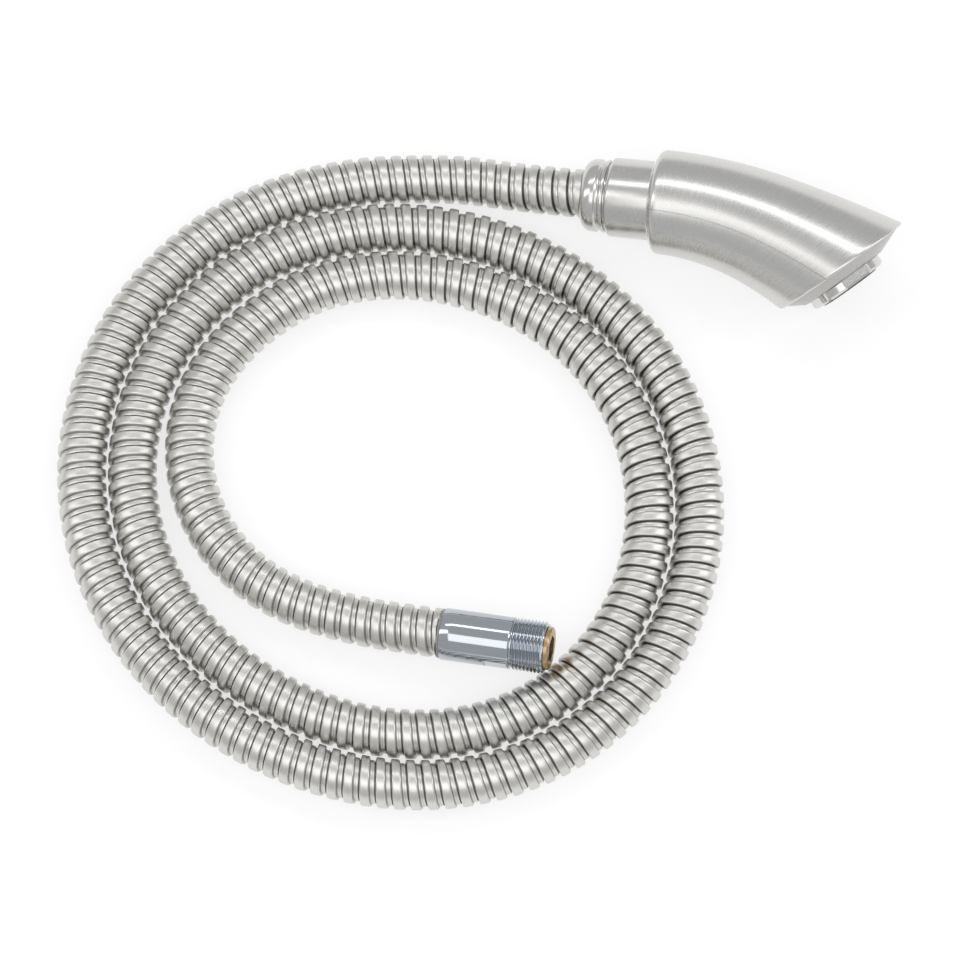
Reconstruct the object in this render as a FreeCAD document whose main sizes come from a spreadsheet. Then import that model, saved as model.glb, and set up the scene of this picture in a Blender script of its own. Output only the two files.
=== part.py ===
"""Handheld bath sprayer: a bent steel spray head on a coiled, ribbed metal hose.

The hose lies on the floor (Z = 0) in a flat spiral.  The head rests on the hose and on the
lower edge of its slanted mouth, and turns on a swivel about the neck's axis.
Lengths are in millimetres.
"""

import FreeCAD, Part
import math
import os
import re
import Sketcher
from FreeCAD import Placement, Rotation, Vector

# Driving sizes: name, value, what it is
SIZES = [
    ("hose_radius", 12.6, "over the ribs"),
    ("hose_root_radius", 10.4, "between the ribs"),
    ("hose_bore_radius", 9.7, "inside the metal hose"),
    ("hose_rib_count", 198, "ribs along the whole hose"),
    ("hose_end_run", 25.3, "straight length at each end of the hose"),
    ("outlet_spread", 0.57, "spread of the two route points that keep the head's end straight"),
    ("inlet_spread", 0.45, "spread of the two route points that keep the inlet's end straight"),
    ("liner_radius", 7.5, "rubber hose inside the metal one"),
    ("liner_bore_radius", 5.5, "water way of the rubber hose"),
    ("coil_radius", 169.7, "centre line of the outer turn"),
    ("coil_pitch", 26.1, "from one turn to the next"),
    ("coil_start_angle", 98.0, "where the outer turn begins"),
    ("coil_end_angle", 836.0, "where the inner turn ends"),
    ("coil_steps_per_turn", 30, "route points in one turn"),
    ("coil_x", -164.52, "centre of the spiral"),
    ("coil_y", -127.19, "centre of the spiral"),
    ("connector_angle", 283.3, "direction of the hose end from the spiral's centre"),
    ("connector_distance", 85.5, "distance of the hose end from the spiral's centre"),
    ("connector_heading", -10.2, "direction of the inlet connector in plan"),
    ("connector_rise", 8.8, "slope of the inlet connector"),
    ("inlet_lift", 1.2, "how far the hose rises before its straight end"),
    ("rim_lift", 1.5, "how far the neck rim stands off the floor"),
    ("rim_x", -33.62, "centre of the shell's neck rim"),
    ("rim_y", 17.41, "centre of the shell's neck rim"),
    ("head_heading", -10.0, "direction of the neck axis in plan"),
    ("head_rise", 10.9, "slope of the neck axis"),
    ("head_roll", 29.2, "roll of the head about the neck axis"),
    ("shell_neck_radius", 27.0, "outside of the shell at its neck rim"),
    ("shell_mouth_radius", 34.5, "outside of the shell at its mouth"),
    ("shell_wall", 1.3, "sheet thickness"),
    ("shell_rim_round", 3.2, "rounding of the neck rim"),
    ("shell_first_bend", 182.0, "radius of the spine near the neck"),
    ("shell_first_length", 62.5, "length of the first bend"),
    ("shell_second_bend", 370.0, "radius of the spine near the mouth"),
    ("shell_length", 134.0, "spine length before the mouth is cut"),
    ("mouth_x", 98.5, "centre of the mouth along the neck axis"),
    ("mouth_drop", 24.1, "centre of the mouth below the neck axis"),
    ("mouth_angle", 49.35, "tilt of the mouth from square to the neck axis"),
    ("seam_gap", 0.14, "weld line between the two shell halves"),
    ("sleeve_radius", 20.5, "neck sleeve"),
    ("sleeve_length", 24.8, "visible length of the neck sleeve"),
    ("sleeve_tail", 9.0, "length of the sleeve inside the shell"),
    ("sleeve_wall", 1.5, "sheet thickness"),
    ("sleeve_round", 2.4, "rounding of the sleeve's end"),
    ("collar_radius", 18.9, "swivel collar"),
    ("collar_length", 12.6, "swivel collar"),
    ("collar_chamfer", 3.4, "taper at the hose end of the collar"),
    ("collar_taper", 5.2, "length of that taper"),
    ("collar_bead", 2.3, "width of the raised bead"),
    ("collar_groove", 1.9, "width of the groove beside the bead"),
    ("collar_groove_depth", 1.0, "depth of that groove"),
    ("swivel_gap", 0.8, "between collar and sleeve"),
    ("spindle_radius", 11.0, "swivel journal"),
    ("spindle_bore", 4.2, "water way through the spindle"),
    ("spindle_end", 1.0, "end of the journal past the rim"),
    ("running_clearance", 0.06, "radial clearance of the swivels"),
    ("seat_clearance", 0.02, "radial clearance of fixed seats"),
    ("barb_radius", 5.4, "hose barb"),
    ("barb_length", 20.0, "hose barb"),
    ("ferrule_radius", 9.2, "crimped ferrule"),
    ("ferrule_length", 15.0, "crimped ferrule"),
    ("o_ring_section", 0.85, "radius of an O-ring's section"),
    ("tube_radius", 8.0, "water way tube"),
    ("tube_bore", 6.6, "water way tube"),
    ("tube_bend", 50.0, "bend of the water way tube"),
    ("housing_length", 32.0, "swivel housing"),
    ("washer_radius", 23.3, "dock washer"),
    ("washer_thickness", 1.1, "dock washer"),
    ("cap_height", 5.4, "rise of the end cap"),
    ("cap_wall", 1.2, "sheet thickness of the end cap"),
    ("cap_recess", 0.8, "depth of the cap's edge inside the mouth"),
    ("cap_clearance", 0.15, "between cap and shell"),
    ("nozzle_offset", 2.6, "nozzle centre from the mouth's centre"),
    ("nut_radius", 21.2, "nozzle nut"),
    ("nut_across_flats", 39.0, "nozzle nut"),
    ("nut_thickness", 5.2, "nozzle nut"),
    ("nut_bevel", 1.2, "front bevel of the nozzle nut"),
    ("nut_lip", 1.5, "front lip of the nozzle nut"),
    ("nut_turn", 60.3, "direction of a flat of the nozzle nut"),
    ("nut_notch", 3.4, "width of a spanner notch of the nozzle nut"),
    ("nut_notch_depth", 1.4, "depth of a spanner notch"),
    ("nut_notch_turn", 24.8, "direction of the two spanner notches"),
    ("spigot_radius", 18.0, "threaded spigot under the nut"),
    ("spigot_wall", 1.9, "wall of the spigot"),
    ("cap_seat", 6.0, "width of the cap's flat seat around the spigot"),
    ("insert_radius", 16.4, "face of the spray insert"),
    ("insert_stand", 0.8, "how far the insert stands past the nut"),
    ("insert_teeth", 60, "fine teeth around the insert"),
    ("tooth_depth", 0.5, "fine teeth around the insert"),
    ("jet_radius", 0.7, "one spray hole"),
    ("jet_ring_step", 3.1, "distance between rings of spray holes"),
    ("connector_radius", 13.22, "inlet connector and its thread"),
    ("connector_barrel", 23.0, "round part of the connector"),
    ("connector_flats", 12.0, "length of the spanner flats"),
    ("flat_depth", 0.95, "depth of the spanner flats"),
    ("connector_edge", 1.2, "round edge before the thread"),
    ("thread_length", 17.0, "inlet thread"),
    ("thread_pitch", 1.814, "inlet thread"),
    ("thread_depth", 1.16, "inlet thread"),
    ("connector_bore", 9.8, "inside the connector"),
    ("bush_thickness", 0.8, "bush at the end of the metal hose"),
    ("connector_gap", 0.25, "between bush and connector"),
    ("insert_nose", 2.2, "brass nose past the thread"),
    ("nose_radius", 10.9, "brass nose"),
    ("nose_socket", 12.0, "hexagon socket across flats"),
    ("nose_socket_depth", 7.0, "hexagon socket"),
]
NAMES = {name for name, _, _ in SIZES}

# The spiral's outline departs from a true spiral: size in mm and phase in degrees,
# for one to four waves in a turn
COIL_WAVES = [(5.5, 90.3), (4.92, 66.7), (0.81, 196.1), (0.5, 260.0)]

# Route points beside the spiral, as angle and distance from its centre
LEAD_ROUTE = [(88.0, 162.3), (79.0, 164.8)]
TAIL_ROUTE = [
    (848.0, 113.0), (860.0, 114.3), (872.0, 115.0), (884.0, 113.9), (896.0, 110.7), (908.0, 106.1),
    (920.0, 100.6), (933.0, 94.1), (947.0, 86.9), (961.0, 80.9),
]

doc = FreeCAD.newDocument("bath_sprayer")
sheet = doc.addObject("Spreadsheet::Sheet", "Sizes")
for row, (name, number, note) in enumerate(SIZES, start=1):
    sheet.set("A%d" % row, note)
    sheet.set("B%d" % row, str(number))
    sheet.setAlias("B%d" % row, name)
doc.recompute()

WORD = re.compile(r"[a-z][a-z0-9_]*")
sub_parts = []


def bound(text):
    """Write an expression's size names as references to the sheet."""
    return WORD.sub(lambda m: "Sizes." + m.group(0) if m.group(0) in NAMES else m.group(0), text)


def size(text):
    """The value of a size, or of an expression of sizes."""
    found = sheet.evalExpression(bound(text))
    return float(getattr(found, "Value", found))


def plane(body, role):
    return next(f for f in body.Origin.OriginFeatures if f.Role == role)


def new_body(label):
    body = doc.addObject("PartDesign::Body", label)
    body.Label = label
    return body


def finish(item, place):
    """Place a sub-part and list it for export."""
    item.Placement = place
    sub_parts.append(item)
    return item


def sketch_on(body, role, name):
    sketch = body.newObject("Sketcher::SketchObject", body.Label + "_" + name)
    sketch.AttachmentSupport = [(plane(body, role), "")]
    sketch.MapMode = "FlatFace"
    return sketch


def fix_point(sketch, line, x_text, y_text):
    """Tie the start of a line to the sketch's origin with two bound distances."""
    for kind, text in (("DistanceX", x_text), ("DistanceY", y_text)):
        index = sketch.addConstraint(Sketcher.Constraint(kind, -1, 1, line, 1, size(text)))
        sketch.setExpression("Constraints[%d]" % index, bound(text))


def outline(sketch, corners):
    """A closed outline of straight lines through corners given as pairs of expressions."""
    points = [Vector(size(x), size(y), 0) for x, y in corners]
    first = sketch.GeometryCount
    count = len(points)
    for i in range(count):
        sketch.addGeometry(Part.LineSegment(points[i], points[(i + 1) % count]), False)
    for i in range(count):
        sketch.addConstraint(Sketcher.Constraint("Coincident", first + i, 2, first + (i + 1) % count, 1))
    for i, (x, y) in enumerate(corners):
        fix_point(sketch, first + i, x, y)


def turned(label, corners, place):
    """A body of revolution about its own X axis, from (along, radius) corners."""
    body = new_body(label)
    sketch = sketch_on(body, "XZ_Plane", "outline")
    outline(sketch, corners)
    turn = body.newObject("PartDesign::Revolution", label + "_turn")
    turn.Profile = sketch
    turn.ReferenceAxis = (sketch, ["H_Axis"])
    turn.Angle = 360
    doc.recompute()
    return finish(body, place)


def ring(label, start, end, inner, outer, place):
    """A plain ring between two stations."""
    return turned(label, [(start, inner), (end, inner), (end, outer), (start, outer)], place)


def round_edges(body, where, text, kind="Fillet"):
    """Round or chamfer the circular edges at the given (along, radius) places."""
    doc.recompute()
    base = body.Tip
    names = []
    for i, edge in enumerate(base.Shape.Edges, start=1):
        if not isinstance(edge.Curve, Part.Circle):
            continue
        for along, radius in where:
            same_place = abs(edge.Curve.Center.x - size(along)) < 0.01
            if same_place and abs(edge.Curve.Radius - size(radius)) < 0.01:
                names.append("Edge%d" % i)
    feature = body.newObject("PartDesign::" + kind, body.Label + "_" + kind.lower())
    feature.Base = (base, names)
    feature.setExpression("Radius" if kind == "Fillet" else "Size", bound(text))
    doc.recompute()


def pocket(body, sketch, name):
    """Cut a sketch through the whole body, both ways, and check that it cuts."""
    before = body.Tip.Shape.Volume
    cut = body.newObject("PartDesign::Pocket", body.Label + "_" + name)
    cut.Profile = sketch
    cut.Type = "ThroughAll"
    cut.Midplane = True
    doc.recompute()
    check_cut(body, before, name)
    return cut


def check_cut(body, before, name):
    if not body.Tip.Shape.Volume < before - 1e-6:
        raise RuntimeError("%s of %s cuts nothing" % (name, body.Label))


def circle_in(sketch, x_text, y_text, radius_text):
    """A circle with a bound centre and radius."""
    centre = Vector(size(x_text), size(y_text), 0)
    index = sketch.addGeometry(Part.Circle(centre, Vector(0, 0, 1), size(radius_text)), False)
    for kind, text in (("DistanceX", x_text), ("DistanceY", y_text)):
        if size(text) == 0:
            other = -2 if kind == "DistanceX" else -1
            sketch.addConstraint(Sketcher.Constraint("PointOnObject", index, 3, other))
            continue
        number = sketch.addConstraint(Sketcher.Constraint(kind, -1, 1, index, 3, size(text)))
        sketch.setExpression("Constraints[%d]" % number, bound(text))
    number = sketch.addConstraint(Sketcher.Constraint("Radius", index, size(radius_text)))
    sketch.setExpression("Constraints[%d]" % number, bound(radius_text))
    return index


def around(body, feature, count_text):
    """Repeat a cut around the body's X axis."""
    before = body.Tip.Shape.Volume
    pattern = body.newObject("PartDesign::PolarPattern", feature.Label + "_around")
    pattern.Originals = [feature]
    pattern.Axis = (plane(body, "X_Axis"), [""])
    pattern.Angle = 360
    pattern.setExpression("Occurrences", bound(count_text))
    body.Tip = pattern
    doc.recompute()
    check_cut(body, before, "pattern")


def regular_corners(sides, flats_text, turn=0.0):
    """Corners of a regular polygon given by its size across flats."""
    half = 180.0 / sides
    corners = []
    for i in range(sides):
        angle = turn + half + 2 * half * i
        reach = "%s / 2 / cos(%g deg)" % (flats_text, half)
        corners.append(("%s * cos(%g deg)" % (reach, angle), "%s * sin(%g deg)" % (reach, angle)))
    return corners


# Where the head lies: neck axis, convex side up, rolled
heading = math.radians(size("head_heading"))
rise = math.radians(size("head_rise"))
roll = math.radians(size("head_roll"))
neck_axis = Vector(math.cos(rise) * math.cos(heading), math.cos(rise) * math.sin(heading), math.sin(rise))
level_side = Vector(math.sin(heading), -math.cos(heading), 0)
down_side = neck_axis.cross(level_side)
concave_side = level_side * math.cos(roll) + down_side * math.sin(roll)
far_side = neck_axis.cross(concave_side)
rim_height = size("shell_neck_radius - shell_rim_round") * math.cos(rise)
rim_height += size("shell_rim_round") * (1 - math.sin(rise)) + size("rim_lift")
rim_centre = Vector(size("rim_x"), size("rim_y"), rim_height)
head_place = Placement(rim_centre, Rotation(neck_axis, far_side, concave_side * -1, "XZY"))

# The nozzle's own frame in the head: X is its outward axis
mouth = Placement(
    Vector(size("mouth_x"), 0, -size("mouth_drop")), Rotation(Vector(0, 1, 0), size("mouth_angle"))
)
nozzle = mouth * Placement(Vector(0, 0, -size("nozzle_offset")), Rotation())
nozzle_place = head_place * nozzle

# Where the hose meets the collar and the connector
collar_face = "-(sleeve_length + swivel_gap + collar_length)"
head_end = head_place.multVec(Vector(size(collar_face), 0, 0))


def spiral_point(angle, distance, height):
    """A point of the floor plan given from the spiral's centre."""
    turn = math.radians(angle)
    return Vector(
        size("coil_x") + distance * math.cos(turn), size("coil_y") + distance * math.sin(turn), height
    )


connector_turn = math.radians(size("connector_heading"))
connector_slope = math.radians(size("connector_rise"))
connector_axis = Vector(
    math.cos(connector_slope) * math.cos(connector_turn),
    math.cos(connector_slope) * math.sin(connector_turn),
    math.sin(connector_slope),
)
outlet_reaches = [size("hose_end_run * (1 + outlet_spread * %d)" % way) for way in (-1, 1)]
inlet_reaches = [size("hose_end_run * (1 + inlet_spread * %d)" % way) for way in (1, -1)]
end_height = size("hose_radius + inlet_lift") + max(inlet_reaches) * math.sin(connector_slope)
hose_end = spiral_point(size("connector_angle"), size("connector_distance"), end_height)
connector_side = Vector(0, 0, 1).cross(connector_axis)
connector_place = Placement(
    hose_end, Rotation(connector_axis, connector_side, connector_axis.cross(connector_side), "XZY")
)


# The hose's route, from the head to the connector
def coil_distance(angle):
    """Distance of the centre line from the spiral's centre."""
    distance = size("coil_radius") - size("coil_pitch") * (angle - 90.0) / 360.0
    for waves, (height, phase) in enumerate(COIL_WAVES, start=1):
        distance += height * math.cos(math.radians(waves * angle + phase))
    return distance


def hose_route():
    """Control points of the hose's centre line."""
    lying = size("hose_radius")
    points = [head_end] + [head_end - neck_axis * reach for reach in outlet_reaches]
    points += [spiral_point(angle, distance, lying) for angle, distance in reversed(LEAD_ROUTE)]
    start, end = size("coil_start_angle"), size("coil_end_angle")
    steps = round((end - start) / 360.0 * size("coil_steps_per_turn"))
    for i in range(steps + 1):
        angle = start + (end - start) * i / steps
        points.append(spiral_point(angle, coil_distance(angle), lying))
    points += [spiral_point(angle, distance, lying) for angle, distance in TAIL_ROUTE]
    points += [hose_end - connector_axis * reach for reach in inlet_reaches] + [hose_end]
    return points


def smooth_line(points):
    """The quadratic spline whose control points are the route's."""
    spans = len(points) - 2
    knots = [float(i) for i in range(spans + 1)]
    mults = [3] + [1] * (spans - 1) + [3]
    curve = Part.BSplineCurve()
    curve.buildFromPolesMultsKnots(points, mults, knots, False, 2)
    return curve


route = hose_route()
centre_line = smooth_line(route)
hose_length = centre_line.length()
rib_count = int(size("hose_rib_count"))
rib_step = hose_length / rib_count


def station(distance):
    """Place of a ring that far along the hose, square to it, its X axis steadily up."""
    distance = min(max(distance, 0.0), hose_length)
    if distance == hose_length:
        u = centre_line.LastParameter
    else:
        u = centre_line.parameterAtDistance(distance, centre_line.FirstParameter)
    along = centre_line.tangent(u)[0]
    side = along.cross(Vector(0, 0, 1))
    side.normalize()
    up = side.cross(along)
    return Placement(centre_line.value(u), Rotation(up, along.cross(up), along, "XZY"))


def hoop(distance, radius):
    circle = Part.makeCircle(radius)
    circle.Placement = station(distance)
    return Part.Wire([circle])


def hollow_tube(outer_hoops, inner_hoops):
    """A tube wall between an outer and an inner row of hoops."""
    outside = Part.makeLoft(outer_hoops, True, True)
    inside = Part.makeLoft(inner_hoops, True, True)
    return outside.cut(inside)


# One rib: share of its length and whether the ring lies on the crest
RIB_FORM = [(0.06, True), (0.60, True), (0.70, False), (0.96, False)]


def ribbed_hose(label, first_rib, last_rib):
    """The metal hose from one rib to another, with its bore."""
    crest, root, bore = size("hose_radius"), size("hose_root_radius"), size("hose_bore_radius")
    start, end = first_rib * rib_step, last_rib * rib_step
    outer = [hoop(start, root)]
    for rib in range(first_rib, last_rib):
        for share, on_crest in RIB_FORM:
            outer.append(hoop((rib + share) * rib_step, crest if on_crest else root))
    outer.append(hoop(end, root))
    inner = [hoop(rib * rib_step, bore) for rib in range(first_rib, last_rib + 1)]
    item = doc.addObject("Part::Feature", label)
    item.Label = label
    item.Shape = hollow_tube(outer, inner)
    return finish(item, Placement())


def liner_hose(label):
    """The rubber hose inside the metal one."""
    rings = rib_count
    outer = [hoop(hose_length * i / rings, size("liner_radius")) for i in range(rings + 1)]
    inner = [hoop(hose_length * i / rings, size("liner_bore_radius")) for i in range(rings + 1)]
    item = doc.addObject("Part::Feature", label)
    item.Label = label
    item.Shape = hollow_tube(outer, inner)
    return finish(item, Placement())


def stretch_length(points):
    return smooth_line(points).length()


lead_points = 3 + len(LEAD_ROUTE) + 1
lead_ribs = max(3, round(stretch_length(route[:lead_points]) / rib_step))
tail_points = len(TAIL_ROUTE) + 4
tail_ribs = max(3, round(stretch_length(route[-tail_points:]) / rib_step))
ribbed_hose("hose_lead", 0, lead_ribs)
ribbed_hose("hose_coil", lead_ribs, rib_count - tail_ribs)
ribbed_hose("hose_tail", rib_count - tail_ribs, rib_count)
liner_hose("inner_hose")

# Swivel at the head: the hose's side
COLLAR_END = "-(sleeve_length + swivel_gap)"
turned(
    "swivel_collar",
    [
        (collar_face, "spindle_radius - 2 + seat_clearance"),
        (COLLAR_END, "spindle_radius - 2 + seat_clearance"),
        (COLLAR_END, "collar_radius - 0.6"),
        (COLLAR_END + " - 0.6", "collar_radius"),
        (COLLAR_END + " - collar_bead", "collar_radius"),
        (COLLAR_END + " - collar_bead - 0.5", "collar_radius - collar_groove_depth"),
        (COLLAR_END + " - collar_bead - collar_groove", "collar_radius - collar_groove_depth"),
        (COLLAR_END + " - collar_bead - collar_groove", "collar_radius"),
        (collar_face + " + collar_taper", "collar_radius"),
        (collar_face + " + 0.6", "collar_radius - collar_chamfer"),
        (collar_face, "collar_radius - collar_chamfer - 0.6"),
    ],
    head_place,
)
spindle_outline = [
    (collar_face + " - barb_length", "spindle_bore"),
    ("spindle_end + 3", "spindle_bore"),
    ("spindle_end + 3", "spindle_radius - 0.6"),
    ("spindle_end + 2.4", "spindle_radius"),
    ("spindle_end + 1.3", "spindle_radius"),
    ("spindle_end + 1.3", "spindle_radius - 1.2"),
    ("spindle_end", "spindle_radius - 1.2"),
    ("spindle_end", "spindle_radius"),
]
O_RING_SEATS = ["-7", "-13"]
for seat in O_RING_SEATS:
    spindle_outline += [
        (seat + " + o_ring_section + 0.1", "spindle_radius"),
        (seat + " + o_ring_section + 0.1", "spindle_radius - 2 * o_ring_section"),
        (seat + " - o_ring_section - 0.1", "spindle_radius - 2 * o_ring_section"),
        (seat + " - o_ring_section - 0.1", "spindle_radius"),
    ]
spindle_outline += [
    (COLLAR_END, "spindle_radius"),
    (COLLAR_END, "spindle_radius - 2"),
    (collar_face, "spindle_radius - 2"),
    (collar_face, "barb_radius"),
    (collar_face + " - barb_length + 2", "barb_radius"),
    (collar_face + " - barb_length", "barb_radius - 0.8"),
]
turned("swivel_spindle", spindle_outline, head_place)
ring("outlet_ferrule", collar_face + " - ferrule_length - 1", collar_face + " - 1",
     "liner_radius + seat_clearance", "ferrule_radius", head_place)
ring("swivel_washer", COLLAR_END + " + 0.1", "-sleeve_length - 0.1",
     "spindle_radius + 0.3", "collar_radius - 1.6", head_place)
ring("swivel_retaining_ring", "spindle_end + 0.05", "spindle_end + 1.25",
     "spindle_radius - 1.15", "spindle_radius + 2", head_place)


def o_rings(label, seats, along_radius, place):
    """Rubber rings of one size, as separate solids in one node."""
    rings = []
    for i, seat in enumerate(seats):
        torus = doc.addObject("Part::Torus", "%s_%d" % (label, i + 1))
        torus.setExpression("Radius1", bound(along_radius))
        torus.setExpression("Radius2", bound("o_ring_section"))
        torus.Placement = Placement(Vector(size(seat), 0, 0), Rotation(Vector(0, 1, 0), 90))
        rings.append(torus)
    doc.recompute()
    item = doc.addObject("Part::Compound", label)
    item.Links = rings
    item.Label = label
    doc.recompute()
    return finish(item, place)


o_rings("swivel_o_rings", O_RING_SEATS, "spindle_radius - o_ring_section", head_place)

# Swivel at the head: the head's side
sleeve = turned(
    "neck_sleeve",
    [
        ("-sleeve_length", "spindle_radius + 0.4"),
        ("-sleeve_length + sleeve_wall", "spindle_radius + 0.4"),
        ("-sleeve_length + sleeve_wall", "sleeve_radius - sleeve_wall"),
        ("sleeve_tail", "sleeve_radius - sleeve_wall"),
        ("sleeve_tail", "sleeve_radius"),
        ("-sleeve_length", "sleeve_radius"),
    ],
    head_place,
)
round_edges(sleeve, [("-sleeve_length", "sleeve_radius")], "sleeve_round")
HOUSING_START = "-sleeve_length + sleeve_wall + seat_clearance"
turned(
    "swivel_housing",
    [
        (HOUSING_START, "spindle_radius + running_clearance"),
        ("spindle_end - 0.1", "spindle_radius + running_clearance"),
        ("spindle_end - 0.1", "spindle_radius + 2.4"),
        ("spindle_end + 3.6", "spindle_radius + 2.4"),
        ("spindle_end + 3.6", "tube_bore"),
        ("spindle_end + 5", "tube_bore"),
        ("spindle_end + 5", "tube_radius + seat_clearance"),
        (HOUSING_START + " + housing_length", "tube_radius + seat_clearance"),
        (HOUSING_START + " + housing_length", "sleeve_radius - sleeve_wall - seat_clearance - 3"),
        (HOUSING_START + " + housing_length - 3", "sleeve_radius - sleeve_wall - seat_clearance"),
        (HOUSING_START, "sleeve_radius - sleeve_wall - seat_clearance"),
    ],
    head_place,
)
ring("dock_washer", "-washer_thickness - 0.05", "-0.05",
     "sleeve_radius + seat_clearance", "washer_radius", head_place)

# The shell: a tapering tube about a bent spine, cut on a slant
SHELL_SECTIONS = 7


def spine(distance):
    """Point and slope of the shell's spine in the head's frame."""
    first = size("shell_first_bend")
    length = min(max(distance, 0.0), size("shell_first_length"))
    angle = length / first
    x, z = first * math.sin(angle), -first * (1 - math.cos(angle))
    beyond = distance - length
    if beyond > 0:
        second = size("shell_second_bend")
        more = beyond / second
        x += second * (math.sin(angle + more) - math.sin(angle))
        z -= second * (math.cos(angle) - math.cos(angle + more))
        angle += more
    elif beyond < 0:
        x += beyond
    return Vector(x, 0, z), angle


def shell_loft(name, start, inset_text):
    """A loft through round sections that widen towards the mouth."""
    sections = []
    end = size("shell_length")
    for i in range(SHELL_SECTIONS):
        distance = start + (end - start) * i / (SHELL_SECTIONS - 1)
        share = distance / size("mouth_x")
        section = doc.addObject("Part::Circle", "%s_section_%d" % (name, i + 1))
        grow = "(shell_mouth_radius - shell_neck_radius) * %.6f" % (share * abs(share))
        section.setExpression("Radius", bound("shell_neck_radius - %s + %s" % (inset_text, grow)))
        point, angle = spine(distance)
        section.Placement = Placement(point, Rotation(Vector(0, 1, 0), 90 + math.degrees(angle)))
        sections.append(section)
    loft = doc.addObject("Part::Loft", name)
    loft.Sections = sections
    loft.Solid = True
    doc.recompute()
    return loft


def cut(name, base, tool):
    item = doc.addObject("Part::Cut", name)
    item.Base = base
    item.Tool = tool
    doc.recompute()
    return item


shell_form = shell_loft("shell_form", 0.0, "0")
rim_edge = next(
    i for i, edge in enumerate(shell_form.Shape.Edges, start=1) if edge.BoundBox.XMax < 0.01
)
rounded = doc.addObject("Part::Fillet", "shell_rounded")
rounded.Base = shell_form
rounded.Edges = [(rim_edge, size("shell_rim_round"), size("shell_rim_round"))]
doc.recompute()
shell_core = shell_loft("shell_core", size("shell_wall"), "shell_wall")
neck_hole = doc.addObject("Part::Cylinder", "shell_neck_hole")
neck_hole.setExpression("Radius", bound("sleeve_radius + seat_clearance"))
neck_hole.setExpression("Height", bound("shell_wall * 4"))
neck_hole.Placement = Placement(Vector(-size("shell_wall"), 0, 0), Rotation(Vector(0, 1, 0), 90))
slant = doc.addObject("Part::Box", "mouth_plane")
for side in ("Length", "Width", "Height"):
    slant.setExpression(side, bound("shell_length * 2"))
reach = size("shell_length")
slant.Placement = mouth * Placement(Vector(0, -reach, -reach), Rotation())
shell = cut("shell_wall_tube", cut("shell_open", rounded, shell_core), neck_hole)
shell = cut("shell_tube", shell, slant)


def seam_block(name, drop):
    """Everything above the seam, which follows the spine."""
    far = size("shell_length")
    down = Vector(0, 0, -drop)
    half, _ = spine(size("shell_first_length") / 2)
    bend, _ = spine(size("shell_first_length"))
    middle, _ = spine((size("shell_first_length") + far * 1.1) / 2)
    last, _ = spine(far * 1.1)
    start = Vector(-far, 0, 0) + down
    zero = Vector(0, 0, 0) + down
    edges = [
        Part.makeLine(start, zero),
        Part.Arc(zero, half + down, bend + down).toShape(),
        Part.Arc(bend + down, middle + down, last + down).toShape(),
        Part.makeLine(last + down, Vector(last.x, 0, far)),
        Part.makeLine(Vector(last.x, 0, far), Vector(-far, 0, far)),
        Part.makeLine(Vector(-far, 0, far), start),
    ]
    block = doc.addObject("Part::Feature", name)
    face = Part.Face(Part.Wire(edges))
    face.translate(Vector(0, -far, 0))
    block.Shape = face.extrude(Vector(0, 2 * far, 0))
    return block


upper = doc.addObject("Part::Common", "shell_upper")
upper.Base = shell
upper.Tool = seam_block("seam_block", 0.0)
lower = cut("shell_lower", shell, seam_block("seam_block_lower", size("seam_gap")))
doc.recompute()
finish(upper, head_place)
finish(lower, head_place)

# The water way: straight, one bend, straight into the nozzle
tube_start = "spindle_end + 5.2"
turn_half = math.radians(size("mouth_angle")) / 2
nozzle_base = nozzle.Base
outward = nozzle.Rotation.multVec(Vector(1, 0, 0))
meet = nozzle_base - outward * (nozzle_base.z / outward.z)
bend_in = meet - Vector(size("tube_bend") * math.tan(turn_half), 0, 0)
bend_out = meet + outward * (size("tube_bend") * math.tan(turn_half))
bend_centre = bend_in - Vector(0, 0, size("tube_bend"))
bend_middle = bend_centre + (meet - bend_centre).normalize() * size("tube_bend")
tube_end = nozzle_base - outward * 5.0
tube_path = Part.Wire([
    Part.makeLine(Vector(size(tube_start), 0, 0), bend_in),
    Part.Arc(bend_in, bend_middle, bend_out).toShape(),
    Part.makeLine(bend_out, tube_end),
])


def bent_rod(radius):
    disc = Part.Wire([Part.makeCircle(radius, Vector(size(tube_start), 0, 0), Vector(1, 0, 0))])
    return tube_path.makePipeShell([disc], True, False)


tube = doc.addObject("Part::Feature", "waterway_tube")
tube.Label = "waterway_tube"
tube.Shape = bent_rod(size("tube_radius")).cut(bent_rod(size("tube_bore")))
finish(tube, head_place)

# Nozzle, along its own axis from the mouth's plane
CAP_TOP = "cap_height"
NUT_BACK = "cap_height + 0.05"
NUT_FRONT = "cap_height + 0.05 + nut_thickness"
LIP_BACK = NUT_FRONT + " - nut_lip"
turned(
    "nozzle_adapter",
    [
        ("-10.9", "tube_radius + seat_clearance"),
        ("-4.9", "tube_radius + seat_clearance"),
        ("-4.9", "tube_bore"),
        ("-2", "tube_bore"),
        ("-2", "tube_bore + 0.7"),
        ("-0.8", "tube_bore + 0.7"),
        (CAP_TOP + " - cap_wall - 1", "spigot_radius - spigot_wall"),
        (LIP_BACK + " - 3.6", "spigot_radius - spigot_wall"),
        (LIP_BACK + " - 3.6", "spigot_radius"),
        (CAP_TOP + " - cap_wall - 0.05", "spigot_radius"),
        (CAP_TOP + " - cap_wall - 0.05", "spigot_radius + 3"),
        (CAP_TOP + " - cap_wall - 1.6", "spigot_radius + 3"),
        ("-6", "tube_radius + 3"),
        ("-10.9", "tube_radius + 3"),
    ],
    nozzle_place,
)
ring("flow_restrictor", "-1.9", "-0.9", "2.2", "tube_bore + 0.7 - seat_clearance", nozzle_place)


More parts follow.
